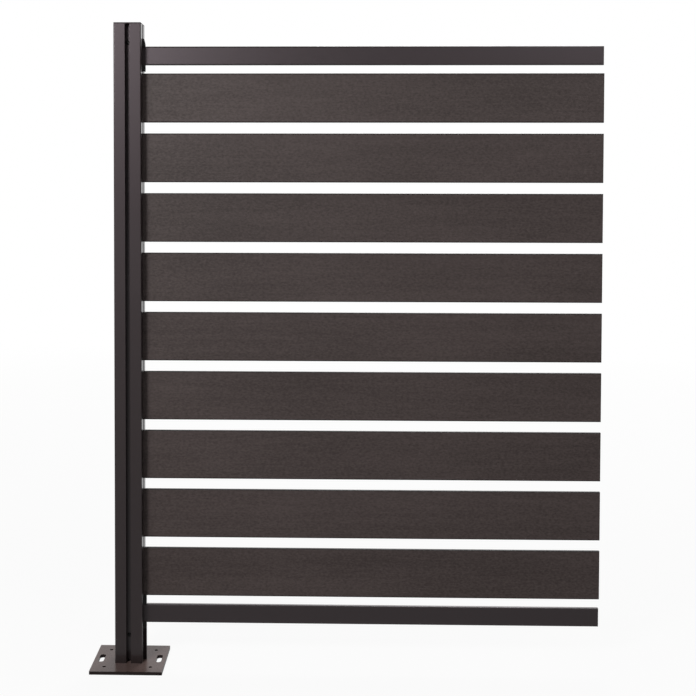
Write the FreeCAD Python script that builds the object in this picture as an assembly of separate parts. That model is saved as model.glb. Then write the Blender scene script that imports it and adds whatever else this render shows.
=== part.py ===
"""Garden privacy screen: one grooved post on a foot plate, carrying a slatted panel.

The origin is the centre of the foot plate's underside. X runs along the panel,
Y from front to back and Z up. All sizes are in millimetres.
"""
import FreeCAD, Part
import math
import os

Vec = FreeCAD.Vector

# ---- foot plate ----
plate_side = 222.0
plate_thickness = 10.0
plate_corner_radius = 2.0
anchor_hole_spacing = 142.0
anchor_hole_diameter = 11.0
anchor_slot_spacing = 179.0
anchor_slot_width = 17.0
anchor_slot_length = 60.0

# ---- post profile ----
post_width = 84.0
post_corner_radius = 3.0
post_skin = 2.5
groove_opening = 14.0
groove_depth = 22.0
groove_floor_wall = 2.5
groove_side_wall = 2.2
lip_edge_radius = 0.8
lip_depth = 8.0
lip_width = 5.0
seal_slot_mouth = 2.2
seal_slot_base = 3.4
seal_slot_depth = 2.0
screw_port_diameter = 4.4
screw_port_wall = 2.2

# ---- panel ----
slat_count = 9
slat_height = 150.0
slat_thickness = 12.0
slat_length = 1427.5
slat_edge_radius = 2.0
slat_gap = 33.3
slat_insertion = 20.0
rail_height = 57.0
rail_wall = 1.6
rail_edge_radius = 1.2
rail_web_pitch = 20.0
rail_end_setback = 2.0
ground_gap = 116.5
bottom_gap = 27.5
top_gap = 25.0
post_above_rail = 66.0

# ---- pieces in the panel's groove ----
spacer_recess = 1.0
spacer_wall = 2.0
bracket_back = 3.0
bracket_reach = 8.5
bracket_tip_reach = 4.5
bracket_straight = 6.0
top_ear_height = 24.0
inner_ear_height = 19.0
strip_wall = 2.0

# ---- screws ----
bracket_screw_diameter = 4.0
bracket_head_diameter = 7.6
bracket_head_height = 3.0
bracket_head_depth = 6.5
clamp_screw_diameter = 6.0
clamp_flange_diameter = 13.0
clamp_flange_height = 1.0
clamp_head_diameter = 9.0
clamp_head_height = 3.0
clamp_screw_tip = 2.0
clamp_height_above_plate = 82.0
clamp_drop_below_top = 56.0

# ---- foot spigot and cap ----
spigot_wall = 4.0
spigot_height = 100.0
weld_leg = 3.0
cap_thickness = 3.5
cap_edge_radius = 1.0
cap_stub_wall = 2.5
cap_stub_length = 72.0

# ---- clearances ----
slide_gap = 0.3
seal_slot_gap = 0.1
screw_gap = 0.1
head_gap = 0.2

# ---- worked out from the sizes above ----
post_half = post_width / 2
groove_floor = post_half - groove_depth
chamber_half = groove_floor - groove_floor_wall
stub_half = chamber_half - slide_gap
post_bottom = plate_thickness
bottom_rail_z = post_bottom + ground_gap
bottom_slat_z = bottom_rail_z + rail_height + bottom_gap
slat_pitch = slat_height + slat_gap
top_slat_z = bottom_slat_z + (slat_count - 1) * slat_pitch
top_rail_z = top_slat_z + slat_height + top_gap
post_top = top_rail_z + rail_height + post_above_rail
slat_start = post_half - slat_insertion
slat_end = slat_start + slat_length
rail_start = groove_floor + bracket_back + slide_gap
rail_end = slat_end - rail_end_setback
bracket_tip = post_half + bracket_reach
bracket_head_seat = bracket_tip - bracket_head_depth
clamp_hole_radius = clamp_screw_diameter / 2 + screw_gap
base_clamp_z = post_bottom + clamp_height_above_plate
cap_clamp_z = post_top - clamp_drop_below_top


def block(x_low, x_high, y_low, y_high, z_low, z_high):
    """A box between two corners."""
    corner = Vec(x_low, y_low, z_low)
    return Part.makeBox(x_high - x_low, y_high - y_low, z_high - z_low, corner)


def rod(radius, length, start, direction):
    """A round bar or the tool for a round hole."""
    return Part.makeCylinder(radius, length, start, direction)


def rectangle(x_low, x_high, y_low, y_high):
    """A flat rectangle in the XY plane."""
    return polygon([(x_low, y_low), (x_high, y_low), (x_high, y_high), (x_low, y_high)])


def polygon(points):
    """A flat face in the XY plane through the given corners."""
    corners = [Vec(x, y, 0) for x, y in points]
    return Part.Face(Part.makePolygon(corners + corners[:1]))


def disc(x, y, radius):
    """A flat round face in the XY plane."""
    return Part.Face(Part.Wire(Part.makeCircle(radius, Vec(x, y, 0))))


def rounded_rectangle(width, height, radius):
    """A flat rectangle in the XY plane, centred, with round corners."""
    x = width / 2
    y = height / 2
    edges = []
    for turn in range(4):
        span, rise = (x, y) if turn % 2 == 0 else (y, x)
        centre = Vec(span - radius, rise - radius, 0)
        start = Vec(span, rise - radius, 0)
        middle = centre + Vec(radius, radius, 0) * math.sqrt(0.5)
        end = Vec(span - radius, rise, 0)
        side = Part.LineSegment(Vec(span, radius - rise, 0), start).toShape()
        corner = Part.Arc(start, middle, end).toShape()
        for edge in (side, corner):
            edge.rotate(Vec(0, 0, 0), Vec(0, 0, 1), 90 * turn)
            edges.append(edge)
    return Part.Face(Part.Wire(Part.__sortEdges__(edges)))


def four_ways(shape):
    """The shape and its copies turned by a quarter, a half and three quarters."""
    copies = []
    for turn in range(4):
        copy = shape.copy()
        copy.rotate(Vec(0, 0, 0), Vec(0, 0, 1), 90 * turn)
        copies.append(copy)
    return copies


def upright(section, z_low, z_high):
    """An extrusion along Z of a section drawn in the XY plane."""
    solid = section.extrude(Vec(0, 0, z_high - z_low))
    solid.translate(Vec(0, 0, z_low))
    return solid


def along_panel(section, x_low, x_high, z_middle):
    """An extrusion along X; the section's X becomes Y and its Y becomes Z."""
    turned = section.copy()
    turned.rotate(Vec(0, 0, 0), Vec(1, 1, 1), 120)
    solid = turned.extrude(Vec(x_high - x_low, 0, 0))
    solid.translate(Vec(x_low, 0, z_middle))
    return solid


def across_groove(outline, width):
    """A plate of the groove's width from a side view given as (x, z) points."""
    corners = [Vec(x, -width / 2, z) for x, z in outline]
    face = Part.Face(Part.makePolygon(corners + corners[:1]))
    return face.extrude(Vec(0, width, 0))


def one_solid(shape):
    """The single clean solid of a finished boolean."""
    solids = shape.removeSplitter().Solids
    if len(solids) != 1:
        raise ValueError("expected one solid, found %d" % len(solids))
    return solids[0]


# ---- screw places ----
def bracket_screw_heights(ear_low, ear_high, rail_z):
    """Heights of the two screws, each in the middle of its ear."""
    return (rail_z - ear_low / 2, rail_z + rail_height + ear_high / 2)


top_bracket_screws_z = bracket_screw_heights(inner_ear_height, top_ear_height, top_rail_z)
bottom_bracket_screws_z = bracket_screw_heights(inner_ear_height, bottom_gap, bottom_rail_z)


# ---- post ----
def seal_slot_outline(side, shrink):
    """The dovetail slot in one lip of the +X groove, or the seal's foot in it."""
    centre = post_half - lip_depth / 2
    wall = groove_opening / 2
    mouth = seal_slot_mouth / 2 - shrink
    base = seal_slot_base / 2 - shrink
    deep = wall + seal_slot_depth - shrink
    return [
        (centre - mouth, side * wall),
        (centre + mouth, side * wall),
        (centre + base, side * deep),
        (centre - base, side * deep),
    ]


def post_section():
    """The extruded profile: four grooves about a square middle chamber."""
    opening_half = groove_opening / 2
    web_outer = opening_half + groove_side_wall
    skin_inner = post_half - post_skin
    section = rounded_rectangle(post_width, post_width, post_corner_radius)
    chamber = rectangle(web_outer, skin_inner, web_outer, skin_inner)
    core = rectangle(-groove_floor, groove_floor, -groove_floor, groove_floor)
    chamber = chamber.cut(core)
    lip_inner = post_half - lip_depth
    lip_outer = opening_half + lip_width
    port_radius = screw_port_diameter / 2
    port_centre = skin_inner - port_radius
    boss = disc(port_centre, port_centre, port_radius + screw_port_wall)
    for low_high in ((0, 1), (1, 0)):
        lip = rectangle(lip_inner, post_half, 0, lip_outer)
        if low_high == (1, 0):
            lip = rectangle(0, lip_outer, lip_inner, post_half)
        chamber = chamber.cut(lip)
    chamber = chamber.cut(boss)
    port = disc(port_centre, port_centre, port_radius)
    groove = rectangle(groove_floor, post_width, -opening_half, opening_half)
    slots = [polygon(seal_slot_outline(side, 0.0)) for side in (-1, 1)]
    middle = rectangle(-chamber_half, chamber_half, -chamber_half, chamber_half)
    cuts = [middle]
    for hollow in [chamber, port, groove] + slots:
        cuts.extend(four_ways(hollow))
    for hollow in cuts:
        section = section.cut(hollow)
    return section


def lip_edges(solid):
    """The long outer edges of the four grooves."""
    opening_half = groove_opening / 2
    found = []
    for edge in solid.Edges:
        box = edge.BoundBox
        low, high = sorted((abs(box.Center.x), abs(box.Center.y)))
        on_lip = abs(low - opening_half) < slide_gap and abs(high - post_half) < slide_gap
        if on_lip and box.ZLength > groove_depth:
            found.append(edge)
    return found


def make_post():
    """The post, drilled for the bracket screws and the clamp screws."""
    post = one_solid(upright(post_section(), post_bottom, post_top))
    post = post.makeFillet(lip_edge_radius, lip_edges(post))
    drill = groove_depth / 2
    bracket_hole = bracket_screw_diameter / 2 + screw_gap
    for z in top_bracket_screws_z + bottom_bracket_screws_z:
        start = Vec(chamber_half - drill, 0, z)
        post = post.cut(rod(bracket_hole, groove_floor_wall + 2 * drill, start, Vec(1, 0, 0)))
    length = groove_floor_wall + 2 * drill
    for side, z in ((-1, base_clamp_z), (1, base_clamp_z), (-1, cap_clamp_z)):
        start = Vec(0, side * (chamber_half - drill), z)
        post = post.cut(rod(clamp_hole_radius, length, start, Vec(0, side, 0)))
    return one_solid(post)


# ---- foot ----
def anchor_slot(side):
    """A long slot that runs front to back, with round ends."""
    radius = anchor_slot_width / 2
    straight = anchor_slot_length - anchor_slot_width
    x = side * anchor_slot_spacing / 2
    slot = block(x - radius, x + radius, -straight / 2, straight / 2, 0, plate_thickness)
    for end in (-1, 1):
        centre = Vec(x, end * straight / 2, 0)
        slot = slot.fuse(rod(radius, plate_thickness, centre, Vec(0, 0, 1)))
    return slot


def make_base_plate():
    """The square foot plate with four anchor holes and two anchor slots."""
    plate = upright(rounded_rectangle(plate_side, plate_side, plate_corner_radius), 0, plate_thickness)
    reach = anchor_hole_spacing / 2
    for x in (-reach, reach):
        for y in (-reach, reach):
            hole = rod(anchor_hole_diameter / 2, plate_thickness, Vec(x, y, 0), Vec(0, 0, 1))
            plate = plate.cut(hole)
    for side in (-1, 1):
        plate = plate.cut(anchor_slot(side))
    return one_solid(plate)


def square_tube(half, wall, z_low, z_high):
    """An upright square tube about the post's axis."""
    outer = block(-half, half, -half, half, z_low, z_high)
    inner = half - wall
    return outer.cut(block(-inner, inner, -inner, inner, z_low, z_high))


def make_base_spigot():
    """The square tube welded on the plate, inside the post's middle chamber."""
    top = post_bottom + spigot_height
    tube = square_tube(stub_half, spigot_wall, post_bottom, top)
    inner = stub_half - spigot_wall
    bead = block(-inner, inner, -inner, inner, post_bottom, post_bottom + weld_leg)
    low = Part.makePolygon([Vec(x, y, post_bottom) for x, y in square_corners(inner - weld_leg)])
    high = Part.makePolygon([Vec(x, y, post_bottom + weld_leg) for x, y in square_corners(inner)])
    bead = bead.cut(Part.makeLoft([low, high], True, True))
    tube = tube.fuse(bead)
    hole = rod(clamp_hole_radius, post_width, Vec(0, -post_half, base_clamp_z), Vec(0, 1, 0))
    return one_solid(tube.cut(hole))


def square_corners(half):
    """The closed run of corners of a centred square."""
    return [(-half, -half), (half, -half), (half, half), (-half, half), (-half, -half)]


def make_post_cap():
    """The flat cap, which covers the grooves, with a square stub below it."""
    section = rounded_rectangle(post_width, post_width, post_corner_radius)
    cap = upright(section, post_top, post_top + cap_thickness)
    rim = [edge for edge in cap.Edges if edge.BoundBox.ZMin > post_top]
    cap = cap.makeFillet(cap_edge_radius, rim)
    cap = cap.fuse(square_tube(stub_half, cap_stub_wall, post_top - cap_stub_length, post_top))
    hole = rod(clamp_hole_radius, post_half, Vec(0, -post_half, cap_clamp_z), Vec(0, 1, 0))
    return one_solid(cap.cut(hole))


# ---- panel ----
def make_slat(z_low):
    """One solid board with rounded long edges."""
    section = rounded_rectangle(slat_thickness, slat_height, slat_edge_radius)
    return along_panel(section, slat_start, slat_end, z_low + slat_height / 2)


def make_rail(z_low):
    """A hollow rail profile with two inner webs."""
    section = rounded_rectangle(slat_thickness, rail_height, rail_edge_radius)
    half = slat_thickness / 2 - rail_wall
    web_half = rail_wall / 2
    reach = rail_height / 2 - rail_wall
    web = rail_web_pitch / 2
    for low, high in ((-reach, -web - web_half), (web_half - web, web - web_half), (web + web_half, reach)):
        section = section.cut(rectangle(-half, half, low, high))
    return along_panel(section, rail_start, rail_end, z_low + rail_height / 2)


def hollow_block(x_low, x_high, z_low, z_high, wall):
    """A short upright hollow profile as wide as a slat is thick."""
    half = slat_thickness / 2
    outer = block(x_low, x_high, -half, half, z_low, z_high)
    return outer.cut(block(x_low + wall, x_high - wall, wall - half, half - wall, z_low, z_high))


def make_slat_spacer(z_low):
    """The piece in the groove that keeps two slats apart."""
    x_low = groove_floor + slide_gap
    return hollow_block(x_low, post_half - spacer_recess, z_low, z_low + slat_gap, spacer_wall)


def make_support_strip():
    """The short profile in the groove that carries the panel from the foot plate."""
    top = bottom_rail_z - inner_ear_height
    return hollow_block(groove_floor + slide_gap, bracket_tip, post_bottom, top, strip_wall)


# ---- rail brackets ----
def make_bracket(rail_z, ear_low, ear_high, tip_reach):
    """A clip in the groove that holds a rail's end between two ears."""
    back = groove_floor
    pocket = back + bracket_back
    low = rail_z - ear_low
    high = rail_z + rail_height + ear_high
    pocket_high = rail_z + rail_height + slide_gap
    slope_z = pocket_high + bracket_straight
    outline = [
        (back, low),
        (bracket_tip, low),
        (bracket_tip, rail_z),
        (pocket, rail_z),
        (pocket, pocket_high),
        (bracket_tip, pocket_high),
        (bracket_tip, slope_z),
        (post_half + tip_reach, high),
        (back, high),
    ]
    bracket = across_groove(outline, slat_thickness)
    for z in bracket_screw_heights(ear_low, ear_high, rail_z):
        shank = bracket_screw_diameter / 2 + screw_gap
        bracket = bracket.cut(rod(shank, bracket_tip, Vec(0, 0, z), Vec(1, 0, 0)))
        head = bracket_head_diameter / 2 + head_gap
        bracket = bracket.cut(rod(head, bracket_head_depth, Vec(bracket_head_seat, 0, z), Vec(1, 0, 0)))
    return one_solid(bracket)


# ---- screws ----
def bracket_screw(z):
    """A cheese-head screw from a bracket's ear, flush with the inside of the groove's floor."""
    length = bracket_head_seat - chamber_half
    shank = rod(bracket_screw_diameter / 2, length, Vec(chamber_half, 0, z), Vec(1, 0, 0))
    head = rod(bracket_head_diameter / 2, bracket_head_height, Vec(bracket_head_seat, 0, z), Vec(1, 0, 0))
    return one_solid(shank.fuse(head))


def clamp_screw(side, z, inner_wall):
    """A flanged screw on a groove's floor, through the post and the stub in it."""
    seat = Vec(0, side * groove_floor, z)
    length = groove_floor_wall + slide_gap + inner_wall + clamp_screw_tip
    shank = rod(clamp_screw_diameter / 2, length, seat, Vec(0, -side, 0))
    outward = Vec(0, side, 0)
    flange = rod(clamp_flange_diameter / 2, clamp_flange_height, seat, outward)
    head = rod(clamp_head_diameter / 2, clamp_head_height, seat + outward * clamp_flange_height, outward)
    return one_solid(shank.fuse(flange).fuse(head))


# ---- seals ----
def make_groove_seal(side):
    """The rubber strip in one lip of the panel's groove, which grips the slats."""
    foot = seal_slot_outline(side, seal_slot_gap)
    mouth_low, mouth_high = foot[:2]
    tongue = [(mouth_low[0], side * slat_thickness / 2), (mouth_high[0], side * slat_thickness / 2)]
    section = polygon(tongue + foot[1:] + foot[:1])
    return one_solid(upright(section, post_bottom, post_top))


# ---- the whole screen ----
def panel_parts():
    """Slats from the top down, with the spacers between them."""
    parts = {}
    for index in range(slat_count):
        z_low = top_slat_z - index * slat_pitch
        parts["slat_%d" % (index + 1)] = make_slat(z_low)
        if index < slat_count - 1:
            parts["slat_spacer_%d" % (index + 1)] = make_slat_spacer(z_low - slat_gap)
    return parts


def build():
    """Every piece by its node name."""
    parts = {
        "base_plate": make_base_plate(),
        "base_spigot": make_base_spigot(),
        "post": make_post(),
        "post_cap": make_post_cap(),
        "top_rail": make_rail(top_rail_z),
        "bottom_rail": make_rail(bottom_rail_z),
        "top_rail_bracket": make_bracket(
            top_rail_z, inner_ear_height, top_ear_height, bracket_tip_reach),
        "bottom_rail_bracket": make_bracket(
            bottom_rail_z, inner_ear_height, bottom_gap, bracket_reach),
        "support_strip": make_support_strip(),
        "groove_seal_front": make_groove_seal(-1),
        "groove_seal_back": make_groove_seal(1),
        "top_bracket_screws": Part.makeCompound([bracket_screw(z) for z in top_bracket_screws_z]),
        "bottom_bracket_screws": Part.makeCompound([bracket_screw(z) for z in bottom_bracket_screws_z]),
        "base_clamp_screws": Part.makeCompound(
            [clamp_screw(side, base_clamp_z, spigot_wall) for side in (-1, 1)]),
        "cap_clamp_screw": clamp_screw(-1, cap_clamp_z, cap_stub_wall),
    }
    parts.update(panel_parts())
    return parts


os.makedirs("parts", exist_ok=True)
for name, shape in build().items():
    shape.exportStep("parts/%s.step" % name)
    print("%-22s solids %d  volume %.0f" % (name, len(shape.Solids), shape.Volume))
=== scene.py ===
"""The looks of the garden privacy screen: finishes, screw heads, floor, light and camera.

Lengths are in metres, in the part's own frame: X along the panel, Y to the back, Z up.
"""
import math

import bmesh
import bpy
from mathutils import Matrix, Vector


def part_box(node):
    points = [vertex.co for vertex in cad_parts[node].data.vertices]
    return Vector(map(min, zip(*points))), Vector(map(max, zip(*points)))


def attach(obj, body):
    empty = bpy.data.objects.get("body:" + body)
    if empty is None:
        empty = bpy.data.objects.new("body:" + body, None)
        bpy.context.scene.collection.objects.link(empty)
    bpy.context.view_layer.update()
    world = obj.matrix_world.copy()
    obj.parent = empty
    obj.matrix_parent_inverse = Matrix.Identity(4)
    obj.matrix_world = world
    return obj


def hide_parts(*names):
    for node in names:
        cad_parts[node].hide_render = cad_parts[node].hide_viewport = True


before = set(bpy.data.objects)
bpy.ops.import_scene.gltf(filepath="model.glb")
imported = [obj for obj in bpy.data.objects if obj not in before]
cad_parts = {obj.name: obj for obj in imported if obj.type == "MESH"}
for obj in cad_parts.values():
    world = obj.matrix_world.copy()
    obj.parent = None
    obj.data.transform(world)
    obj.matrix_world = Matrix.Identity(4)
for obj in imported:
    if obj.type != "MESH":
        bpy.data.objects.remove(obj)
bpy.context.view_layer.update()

# ---- camera: place, turns in radians, focal length and principal point in the photograph's pixels ----
IMAGE_SIDE = 696
CAMERA_PLACE = (0.572, -3.863, 1.478)
CAMERA_YAW = -0.0241
CAMERA_PITCH = 0.0351
CAMERA_ROLL = -0.00176
CAMERA_REACH = 200.0
FOCAL_PIXELS = 1257.7
PRINCIPAL_X = 284.8
PRINCIPAL_Y = 231.9
SENSOR_WIDTH = 36.0

# ---- lamps: name, place, point aimed at, side, power in watts ----
LAMPS = (
    ("key_low", (-2.1, -4.0, 2.6), (0.3, 0, 1.2), 1.2, 62),
    ("key_high", (-1.5, -4.0, 3.2), (0.3, 0, 1.3), 0.9, 105),
    ("fill", (2.6, -4.0, 3.4), (1.3, 0, 1.8), 1.0, 42),
    ("back_fill", (1.6, 4.2, 4.4), (0.7, 0, 1.0), 2.0, 140),
)

# ---- world: the sky's light, and the backdrop in mirrors by how far back a ray points ----
SKY_STRENGTH = 0.02
MIRROR_FRONT = 0.07
MIRROR_BACK = 1.0
MIRROR_RISE = (0.3, 0.9)

# ---- floor: its glow by the distance from the post, and in mirrors by the place in front or behind ----
FLOOR_HALF = 40.0
FLOOR_WHITE = (0.8, 0.8, 0.8)
FLOOR_ROUGHNESS = 0.9
FLOOR_GLOW = 0.93
FLOOR_NEAR = 0.8
FLOOR_FAR = 8.0
FLOOR_MIRROR_FRONT = 0.38
FLOOR_MIRROR_BACK = 0.8
FLOOR_MIRROR_BLEND = 0.3

# ---- colours, linear ----
POST_BROWN = (0.0110, 0.0068, 0.0056)
RAIL_BROWN = (0.0080, 0.0050, 0.0041)
# painted light: the plate's faces that point up are painted this much lighter colour, standing in for the
# bright backdrop they reflect
PLATE_TOP_PAINTED_LIGHT = (0.128, 0.087, 0.078)
CAP_BROWN = (0.0110, 0.0080, 0.0074)
COAT_TINT = (1.0, 0.85, 0.93)
BOARD_DARK = (0.036, 0.0255, 0.0236)
BOARD_LIGHT = (0.070, 0.0520, 0.0494)
# painted shade: the colour that the boards darken to along their rounded long edges
BOARD_EDGE_PAINTED_SHADE = (0.012, 0.0085, 0.0080)
BRACKET_BLACK = (0.0060, 0.0055, 0.0055)
RUBBER_BLACK = (0.0045, 0.0045, 0.0045)
SCREW_BLACK = (0.012, 0.012, 0.012)

# ---- rounded long edges, with painted shade along the boards' ones: how wide, the slope that they reach, and the two lowest of each stack ----
EDGE_ROUNDING = 0.004
EDGE_SLOPE = 1.4
RAILS = ("bottom_rail", "top_rail")
BOARDS = ("slat_9", "slat_8")

# ---- powder coat: pattern scales per metre, and what each pattern does ----
COAT_BROAD = 3.0
COAT_GRAIN = 260.0
COAT_FINE = 900.0
COAT_FINE_SHARE = 0.4
COAT_TONE_HALF = 0.2
COAT_MOTTLE = 0.1
COAT_DULLING_HALF = 0.25
COAT_DULLING = 0.05
COAT_GRAIN_BUMP = (0.06, 0.0004)
COAT_FINE_BUMP = (0.10, 0.0002)
CLEAR_ROUGHNESS = 0.12
# painted light on faces that point up: the rise of the true normal's Z over which it comes in, and its
# least share where the mottle is darkest
PAINTED_TOP_RISE = (0.4, 0.9)
PAINTED_TOP_THINNEST = 0.85

# ---- board: each pattern's scale per metre along X, Y and Z, and what the patterns do ----
DRIFT_SCALE = (0.8, 1.0, 3.0)
DRIFT_SIZE = 1.7
BRUSHED_SCALE = (55.0, 300.0, 420.0)
STREAK_SCALE = (4.0, 60.0, 95.0)
FIGURE_SCALE = (1.3, 8.0, 16.0)
FLECK_SCALE = (110.0, 200.0, 190.0)
KNOT_SCALE = (1.5, 1.0, 5.5)
KNOT_CORE = 0.012
KNOT_RIM = 0.06
KNOT_SHADE = 0.6
KNOT_SHARE = 0.5
KNOT_DEPTH = 0.25
STREAK_SHARE = 0.45
FIGURE_SHARE = 0.25
FLECK_SHARE = 0.5
DRIFT_SHARE = 0.2
BOARD_TONE_HALF = 0.1
BOARD_BUMP = (0.6, 0.0010)
BOARD_ROUGHNESS = 0.55
BOARD_DULLING_HALF = 0.15
BOARD_DULLING = 0.06
BOARD_GLOSS = 0.32

# ---- moulded pieces and screw steel ----
MOULDED_BROAD = 40.0
MOULDED_FINE = 1400.0
MOULDED_DARKER = 0.8
MOULDED_LIGHTER = 1.25
MOULDED_BUMP = (0.2, 0.0001)
MOULDED_DULLING_HALF = 0.2
MOULDED_DULLING = 0.06
WEAR_SCALE = 500.0
WEAR_RISE = (0.58, 0.70)
WEAR_SHARE = 0.5
WEAR_LIGHTER = 5.0
SCREW_DULLING_HALF = 0.2
SCREW_ROUGHNESS = (0.22, 0.38)
SCREW_METAL = 0.6

# ---- screws: rings of radius, height above the seat, and whether it is a hexagon ----
SCREW_STEPS = 48
SHARP_ANGLE = 38.0
BRACKET_HEAD_RADIUS = 0.0038
BRACKET_HEAD_HEIGHT = 0.003
BRACKET_RINGS = (
    (0.0020, -0.0260, False), (0.0020, 0.0, False), (0.0038, 0.0, False), (0.0038, 0.0012, False),
    (0.0036, 0.0020, False), (0.0031, 0.0026, False), (0.0024, 0.0030, False), (0.0013, 0.0030, True),
    (0.0013, 0.0014, True), (0.0004, 0.0010, True),
)
CLAMP_HEAD_HEIGHT = 0.004
CLAMP_RINGS = (
    (0.0030, -0.0065, False), (0.0030, 0.0, False), (0.0065, 0.0, False), (0.0065, 0.0006, False),
    (0.0062, 0.0009, False), (0.0047, 0.0012, False), (0.0045, 0.0016, False), (0.0045, 0.0028, False),
    (0.0042, 0.0035, False), (0.0036, 0.0040, False), (0.0020, 0.0040, True), (0.0020, 0.0018, True),
    (0.0006, 0.0012, True),
)

# ---- sockets of the colour mix node, whose names it shares with its other types ----
MIX_FACTOR = 0
MIX_LOW = 6
MIX_HIGH = 7
MIX_COLOUR = 2


# ---- node helpers ----
class Nodes:
    """A node tree under construction: makes nodes and links them by short calls."""

    def __init__(self, tree):
        self.tree = tree

    def add(self, kind, sockets=(), **settings):
        """A new node with its settings, and its input sockets as (name, value) pairs."""
        node = self.tree.nodes.new(kind)
        for key, value in settings.items():
            setattr(node, key, value)
        for socket, value in sockets:
            self.put(value, node.inputs[socket])
        return node

    def put(self, value, socket):
        """Links an output to the socket, or writes a constant into it."""
        if isinstance(value, bpy.types.NodeSocket):
            self.tree.links.new(value, socket)
        elif isinstance(value, tuple) and socket.type == "RGBA":
            socket.default_value = (*value, 1.0)
        else:
            socket.default_value = value

    def place(self, scale=(1.0, 1.0, 1.0)):
        """Object coordinates, each multiplied by its scale."""
        coords = self.add("ShaderNodeTexCoord")
        sockets = (("Vector", coords.outputs["Object"]), ("Scale", scale))
        return self.add("ShaderNodeMapping", sockets).outputs["Vector"]

    def parts(self, vector):
        """The X, Y and Z of a vector, as three outputs."""
        return self.add("ShaderNodeSeparateXYZ", (("Vector", vector),)).outputs

    def axes(self):
        """The X, Y and Z of a point of the object."""
        return self.parts(self.add("ShaderNodeTexCoord").outputs["Object"])

    def noise(self, vector, scale=1.0, detail=4.0, roughness=0.55, distortion=0.0):
        """A soft pattern between 0 and 1 that lies about 0.5."""
        sockets = (("Vector", vector), ("Scale", scale), ("Detail", detail),
                   ("Roughness", roughness), ("Distortion", distortion))
        return self.add("ShaderNodeTexNoise", sockets).outputs["Fac"]

    def remap(self, value, low, high, new_low, new_high):
        """A value moved from one range to another, and held inside it."""
        sockets = (("Value", value), ("From Min", low), ("From Max", high),
                   ("To Min", new_low), ("To Max", new_high))
        return self.add("ShaderNodeMapRange", sockets).outputs["Result"]

    def spread(self, pattern, half, new_low, new_high):
        """A pattern about 0.5, stretched so that half either way of it fills the new range."""
        return self.remap(pattern, 0.5 - half, 0.5 + half, new_low, new_high)

    def math(self, operation, *values):
        """The result of one operation on one or two values."""
        sockets = tuple(enumerate(values))
        return self.add("ShaderNodeMath", sockets, operation=operation).outputs["Value"]

    def blend(self, first, second, share):
        """A weighted sum of two values; share is the second one's weight."""
        kept = self.math("MULTIPLY", first, 1 - share)
        return self.math("ADD", kept, self.math("MULTIPLY", second, share))

    def mix_colours(self, factor, low, high):
        """A colour between two others."""
        sockets = ((MIX_FACTOR, factor), (MIX_LOW, low), (MIX_HIGH, high))
        return self.add("ShaderNodeMix", sockets, data_type="RGBA").outputs[MIX_COLOUR]

    def bump(self, height, strength, distance, normal=None):
        """A normal turned by a height pattern, on top of another normal if one is given."""
        sockets = (("Height", height), ("Strength", strength), ("Distance", distance))
        node = self.add("ShaderNodeBump", sockets)
        if normal is not None:
            self.put(normal, node.inputs["Normal"])
        return node.outputs["Normal"]


def new_material(name):
    """A material with its node helper and its shader."""
    material = bpy.data.materials.new(name)
    material.use_nodes = True
    return material, Nodes(material.node_tree), material.node_tree.nodes["Principled BSDF"]


def shade(colour, factor):
    """A colour made lighter or darker."""
    return tuple(channel * factor for channel in colour)


# ---- materials ----
def edge_mask(n, first, second):
    """0 on the faces of pieces stacked like these two, rising to 1 at their long edges."""
    low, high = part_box(first)
    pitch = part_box(second)[0][2] - low[2]
    half = (high[2] - low[2]) / 2
    up = n.math("MODULO", n.math("SUBTRACT", n.axes()["Z"], low[2]), pitch)
    off_centre = n.math("ABSOLUTE", n.math("SUBTRACT", up, half))
    return n.remap(off_centre, half - EDGE_ROUNDING, half, 0.0, 1.0)


def rounded(n, mask):
    """A normal that turns outwards over the long edges, as on a rounded arris."""
    height = n.math("SUBTRACT", 1.0, n.math("MULTIPLY", mask, mask))
    return n.bump(height, 1.0, EDGE_ROUNDING * EDGE_SLOPE / 2)


def painted_top_light(n, tone):
    """How much painted light covers the coat: all of it on what faces up, a little less where the coat's
    mottle is darker.
    """
    upward = n.parts(n.add("ShaderNodeNewGeometry").outputs["True Normal"])["Z"]
    facing_up = n.remap(upward, *PAINTED_TOP_RISE, 0.0, 1.0)
    return n.math("MULTIPLY", facing_up, n.remap(tone, 0.0, 1.0, PAINTED_TOP_THINNEST, 1.0))


def powder_coat(name, colour, roughness, gloss, clear=0.0, top_light_colour=None, edges=None):
    """Fine-textured powder coat: a faint mottle, an orange-peel bump and duller patches.

    clear is the weight of a smooth clear film over it; the next argument is the colour of painted light on
    faces that point up;
    and edges names two like pieces, one above the other, with rounded long edges.
    """
    material, n, shader = new_material(name)
    vector = n.place()
    broad = n.noise(vector, COAT_BROAD, detail=3.0)
    fine = n.noise(vector, COAT_FINE, detail=2.0)
    grain = n.noise(vector, COAT_GRAIN, detail=3.0)
    tone = n.spread(n.blend(broad, fine, COAT_FINE_SHARE), COAT_TONE_HALF, 0.0, 1.0)
    coloured = n.mix_colours(tone, shade(colour, 1 - COAT_MOTTLE), shade(colour, 1 + COAT_MOTTLE))
    # painted light: faces that point up are painted a much lighter colour
    if top_light_colour:
        coloured = n.mix_colours(painted_top_light(n, tone), coloured, top_light_colour)
    n.put(coloured, shader.inputs["Base Color"])
    dulled = n.spread(grain, COAT_DULLING_HALF, roughness - COAT_DULLING, roughness + COAT_DULLING)
    n.put(dulled, shader.inputs["Roughness"])
    normal = rounded(n, edge_mask(n, *edges)) if edges else None
    normal = n.bump(grain, *COAT_GRAIN_BUMP, normal)
    n.put(n.bump(fine, *COAT_FINE_BUMP, normal), shader.inputs["Normal"])
    shader.inputs["Specular IOR Level"].default_value = gloss
    shader.inputs["Specular Tint"].default_value = (*COAT_TINT, 1.0)
    shader.inputs["Coat Weight"].default_value = clear
    shader.inputs["Coat Roughness"].default_value = CLEAR_ROUGHNESS
    return material


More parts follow.
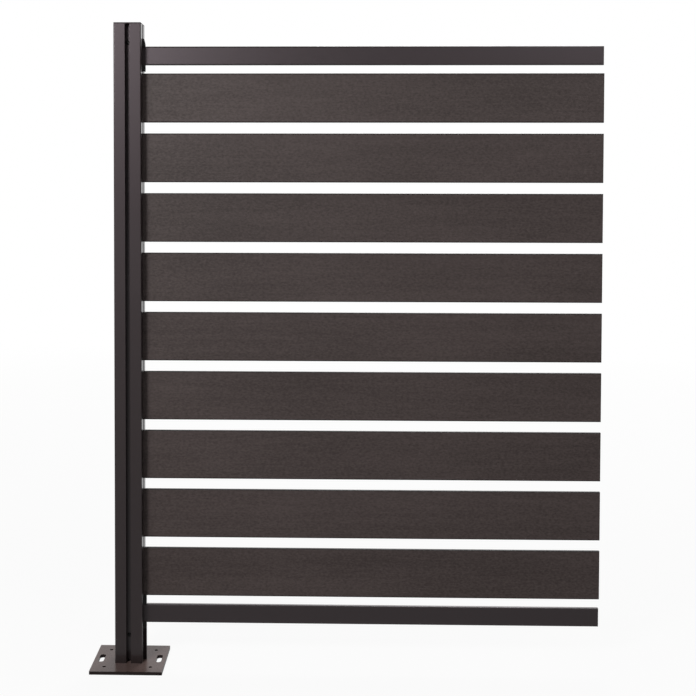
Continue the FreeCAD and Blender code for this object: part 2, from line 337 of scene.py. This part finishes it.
def board_grain():
    """Dark composite board: a brushed, embossed wood grain with a few knots, a slow colour drift, and
    painted shade along its rounded long edges.
    """
    material, n, shader = new_material("board_grain")
    drift = n.noise(n.place(DRIFT_SCALE), DRIFT_SIZE, detail=2.0)
    brushed = n.noise(n.place(BRUSHED_SCALE), roughness=0.65)
    streak = n.noise(n.place(STREAK_SCALE), detail=5.0, roughness=0.6, distortion=0.6)
    figure = n.noise(n.place(FIGURE_SCALE), distortion=1.6)
    fleck = n.noise(n.place(FLECK_SCALE), detail=3.0, roughness=0.6)
    knots = n.add("ShaderNodeTexVoronoi", (("Vector", n.place(KNOT_SCALE)), ("Scale", 1.0)))
    knot = n.remap(knots.outputs["Distance"], KNOT_CORE, KNOT_RIM, 1.0, 0.0)
    grain = n.blend(n.blend(brushed, streak, STREAK_SHARE), figure, FIGURE_SHARE)
    grain = n.blend(grain, fleck, FLECK_SHARE)
    tone = n.spread(n.blend(grain, drift, DRIFT_SHARE), BOARD_TONE_HALF, 0.0, 1.0)
    colour = n.mix_colours(tone, BOARD_DARK, BOARD_LIGHT)
    colour = n.mix_colours(n.math("MULTIPLY", knot, KNOT_SHARE), colour, shade(BOARD_DARK, KNOT_SHADE))
    mask = edge_mask(n, *BOARDS)
    # painted shade: the board's colour darkens towards its long edges
    n.put(n.mix_colours(mask, colour, BOARD_EDGE_PAINTED_SHADE), shader.inputs["Base Color"])
    height = n.math("SUBTRACT", grain, n.math("MULTIPLY", knot, KNOT_DEPTH))
    n.put(n.bump(height, *BOARD_BUMP, rounded(n, mask)), shader.inputs["Normal"])
    dull, smooth = BOARD_ROUGHNESS + BOARD_DULLING, BOARD_ROUGHNESS - BOARD_DULLING
    n.put(n.spread(grain, BOARD_DULLING_HALF, dull, smooth), shader.inputs["Roughness"])
    shader.inputs["Specular IOR Level"].default_value = BOARD_GLOSS
    return material


def moulded_black(name, colour, roughness):
    """Moulded black plastic or rubber with a fine even texture."""
    material, n, shader = new_material(name)
    vector = n.place()
    broad = n.noise(vector, MOULDED_BROAD, detail=2.0)
    fine = n.noise(vector, MOULDED_FINE, detail=2.0)
    mottled = n.mix_colours(broad, shade(colour, MOULDED_DARKER), shade(colour, MOULDED_LIGHTER))
    n.put(mottled, shader.inputs["Base Color"])
    dulled = n.spread(broad, MOULDED_DULLING_HALF, roughness - MOULDED_DULLING, roughness + MOULDED_DULLING)
    n.put(dulled, shader.inputs["Roughness"])
    n.put(n.bump(fine, *MOULDED_BUMP), shader.inputs["Normal"])
    return material


def coated_screw():
    """Black-coated screw steel with worn, brighter spots."""
    material, n, shader = new_material("coated_screw")
    wear = n.noise(n.place(), WEAR_SCALE)
    spots = n.remap(wear, *WEAR_RISE, 0.0, WEAR_SHARE)
    worn = shade(SCREW_BLACK, WEAR_LIGHTER)
    n.put(n.mix_colours(spots, SCREW_BLACK, worn), shader.inputs["Base Color"])
    n.put(n.spread(wear, SCREW_DULLING_HALF, *SCREW_ROUGHNESS), shader.inputs["Roughness"])
    shader.inputs["Metallic"].default_value = SCREW_METAL
    return material


def pale_floor():
    """Plain pale floor: near white for the camera, with the object's shadow kept, and whiter far away.

    In mirrors it is as pale as the backdrop behind the object, and dim in front of it.
    """
    material, n, shader = new_material("pale_floor")
    n.put(FLOOR_WHITE, shader.inputs["Base Color"])
    shader.inputs["Roughness"].default_value = FLOOR_ROUGHNESS
    shader.inputs["Specular IOR Level"].default_value = 0.0
    path = n.add("ShaderNodeLightPath").outputs
    reach = n.add("ShaderNodeVectorMath", ((0, n.place()),), operation="LENGTH").outputs["Value"]
    pale = n.remap(reach, FLOOR_NEAR, FLOOR_FAR, FLOOR_GLOW, 1.0)
    mirrored = n.remap(
        n.axes()["Y"], -FLOOR_MIRROR_BLEND, FLOOR_MIRROR_BLEND, FLOOR_MIRROR_FRONT, FLOOR_MIRROR_BACK)
    seen = n.math("MAXIMUM", path["Is Camera Ray"], path["Is Transmission Ray"])
    share = n.math("MAXIMUM", n.math("MULTIPLY", seen, pale), path["Is Glossy Ray"])
    strength = n.math("MAXIMUM", seen, mirrored)
    glow = n.add("ShaderNodeEmission", (("Color", (1.0, 1.0, 1.0)), ("Strength", strength)))
    sockets = ((0, share), (1, shader.outputs["BSDF"]), (2, glow.outputs["Emission"]))
    mix = n.add("ShaderNodeMixShader", sockets)
    n.put(mix.outputs["Shader"], material.node_tree.nodes["Material Output"].inputs["Surface"])
    return material


FINISHES = {
    "post": powder_coat("post_coat", POST_BROWN, roughness=0.42, gloss=0.52, clear=0.5),
    "rail": powder_coat("rail_coat", RAIL_BROWN, roughness=0.42, gloss=0.7, clear=0.4, edges=RAILS),
    # the plate gets painted light on its faces that point up
    "plate": powder_coat("plate_coat", POST_BROWN, roughness=0.3, gloss=0.24, top_light_colour=PLATE_TOP_PAINTED_LIGHT),
    "cap": powder_coat("cap_coat", CAP_BROWN, roughness=0.55, gloss=0.25),
    "board": board_grain(),
    "bracket": moulded_black("bracket_black", BRACKET_BLACK, roughness=0.5),
    "rubber": moulded_black("rubber_black", RUBBER_BLACK, roughness=0.75),
    "spacer": moulded_black("spacer_black", BRACKET_BLACK, roughness=0.55),
    "screw": coated_screw(),
}

NODE_FINISH = {
    "base_plate": "plate",
    "base_spigot": "plate",
    "post": "post",
    "post_cap": "cap",
    "top_rail": "rail",
    "bottom_rail": "rail",
    "support_strip": "cap",
    "top_rail_bracket": "bracket",
    "bottom_rail_bracket": "bracket",
    "groove_seal_front": "rubber",
    "groove_seal_back": "rubber",
}


def finish_of(node):
    """The finish that a CAD node gets, by its name."""
    if node in NODE_FINISH:
        return NODE_FINISH[node]
    if node.startswith("slat_spacer"):
        return "spacer"
    return "board" if node.startswith("slat") else "screw"


def dress_nodes():
    """Gives every CAD node its finish."""
    for node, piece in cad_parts.items():
        piece.data.materials.clear()
        piece.data.materials.append(FINISHES[finish_of(node)])


# ---- screws ----
def hexagon(angle, apothem):
    """The distance from a hexagon's centre to its side, at an angle."""
    sixth = math.pi / 3
    return apothem / math.cos((angle + sixth / 2) % sixth - sixth / 2)


def screw_mesh(form, seat, axis, rings):
    """Adds one screw to the form; its rings run from the shank's end to the drive's floor."""
    turn = axis.to_track_quat("Z", "Y")
    rows = []
    for radius, height, is_hexagon in rings:
        row = []
        for step in range(SCREW_STEPS):
            angle = 2 * math.pi * step / SCREW_STEPS
            reach = hexagon(angle, radius) if is_hexagon else radius
            spot = Vector((reach * math.cos(angle), reach * math.sin(angle), height))
            row.append(form.verts.new(turn @ spot + seat))
        rows.append(row)
    for low, high in zip(rows, rows[1:]):
        for step in range(SCREW_STEPS):
            after = (step + 1) % SCREW_STEPS
            form.faces.new((low[step], low[after], high[after], high[step]))
    form.faces.new(tuple(reversed(rows[0])))
    form.faces.new(tuple(rows[-1]))


def make_screws(node, seats, axes, rings):
    """Screws with shaped heads and a hexagon drive, in place of a CAD node's plain ones."""
    mesh = bpy.data.meshes.new(node + "_shaped")
    form = bmesh.new()
    for seat, axis in zip(seats, axes):
        screw_mesh(form, Vector(seat), Vector(axis), rings)
    form.to_mesh(mesh)
    form.free()
    mesh.shade_smooth()
    mesh.set_sharp_from_angle(angle=math.radians(SHARP_ANGLE))
    screws = bpy.data.objects.new(node + "_shaped", mesh)
    mesh.materials.append(FINISHES["screw"])
    bpy.context.scene.collection.objects.link(screws)
    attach(screws, "root")
    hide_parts(node)


def head_ends(node, axis_index, sign):
    """Where a CAD node's screw heads end along one axis, and the node's lowest and highest Z."""
    low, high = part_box(node)
    end = (high if sign > 0 else low)[axis_index]
    return end, low[2], high[2]


def shape_screws():
    """Every screw of the post and the brackets."""
    for node in ("top_bracket_screws", "bottom_bracket_screws"):
        end, low_z, high_z = head_ends(node, 0, 1)
        heights = (low_z + BRACKET_HEAD_RADIUS, high_z - BRACKET_HEAD_RADIUS)
        seats = [(end - BRACKET_HEAD_HEIGHT, 0, z) for z in heights]
        make_screws(node, seats, [(1, 0, 0)] * 2, BRACKET_RINGS)
    for node, signs in (("base_clamp_screws", (-1, 1)), ("cap_clamp_screw", (-1,))):
        seats = []
        for sign in signs:
            end, low_z, high_z = head_ends(node, 1, sign)
            seats.append((0, end - sign * CLAMP_HEAD_HEIGHT, (low_z + high_z) / 2))
        make_screws(node, seats, [(0, sign, 0) for sign in signs], CLAMP_RINGS)


# ---- floor, world, lamps and camera ----
def make_floor():
    """One large pale plane under the object."""
    mesh = bpy.data.meshes.new("floor")
    form = bmesh.new()
    bmesh.ops.create_grid(form, x_segments=1, y_segments=1, size=FLOOR_HALF)
    form.to_mesh(mesh)
    form.free()
    floor = bpy.data.objects.new("floor", mesh)
    mesh.materials.append(pale_floor())
    bpy.context.scene.collection.objects.link(floor)


def make_world():
    """White for the camera, a studio backdrop behind the object for mirrors, a soft sky for the light."""
    world = bpy.data.worlds.new("studio")
    world.use_nodes = True
    n = Nodes(world.node_tree)
    path = n.add("ShaderNodeLightPath").outputs
    backward = n.parts(n.add("ShaderNodeTexCoord").outputs["Generated"])["Y"]
    mirror = n.remap(backward, *MIRROR_RISE, MIRROR_FRONT, MIRROR_BACK)
    mirror = n.math("MULTIPLY", path["Is Glossy Ray"], mirror)
    seen = n.math("MAXIMUM", path["Is Camera Ray"], path["Is Transmission Ray"])
    lit = n.math("SUBTRACT", 1.0, path["Is Glossy Ray"])
    strength = n.math("MAXIMUM", seen, n.math("MULTIPLY", lit, SKY_STRENGTH))
    back = world.node_tree.nodes["Background"]
    n.put((1.0, 1.0, 1.0), back.inputs["Color"])
    n.put(n.math("MAXIMUM", strength, mirror), back.inputs["Strength"])
    bpy.context.scene.world = world


def make_lamp(name, place, aim, side, power):
    """A square soft light aimed at a point."""
    data = bpy.data.lights.new(name, "AREA")
    data.shape = "SQUARE"
    data.size = side
    data.energy = power
    lamp = bpy.data.objects.new(name, data)
    lamp.location = place
    lamp.rotation_euler = (Vector(aim) - Vector(place)).to_track_quat("-Z", "Y").to_euler()
    bpy.context.scene.collection.objects.link(lamp)


def make_camera():
    """The photograph's view: the lens, a small shift and the place that fit its edges."""
    yaw_sin, yaw_cos = math.sin(CAMERA_YAW), math.cos(CAMERA_YAW)
    pitch_sin, pitch_cos = math.sin(CAMERA_PITCH), math.cos(CAMERA_PITCH)
    forward = Vector((yaw_sin * pitch_cos, yaw_cos * pitch_cos, -pitch_sin))
    right = Vector((yaw_cos, -yaw_sin, 0))
    down = forward.cross(right)
    turned_right = right * math.cos(CAMERA_ROLL) + down * math.sin(CAMERA_ROLL)
    turned_down = down * math.cos(CAMERA_ROLL) - right * math.sin(CAMERA_ROLL)
    axes = Matrix((turned_right, -turned_down, -forward)).transposed().to_4x4()
    data = bpy.data.cameras.new("camera")
    data.sensor_width = SENSOR_WIDTH
    data.lens = FOCAL_PIXELS / IMAGE_SIDE * SENSOR_WIDTH
    data.shift_x = (IMAGE_SIDE / 2 - PRINCIPAL_X) / IMAGE_SIDE
    data.shift_y = (PRINCIPAL_Y - IMAGE_SIDE / 2) / IMAGE_SIDE
    data.clip_end = CAMERA_REACH
    camera = bpy.data.objects.new("camera", data)
    camera.matrix_world = Matrix.Translation(CAMERA_PLACE) @ axes
    bpy.context.scene.collection.objects.link(camera)
    bpy.context.scene.camera = camera


dress_nodes()
shape_screws()
make_floor()
make_world()
for lamp_row in LAMPS:
    make_lamp(*lamp_row)
make_camera()

bpy.context.scene.view_settings.view_transform = "Standard"
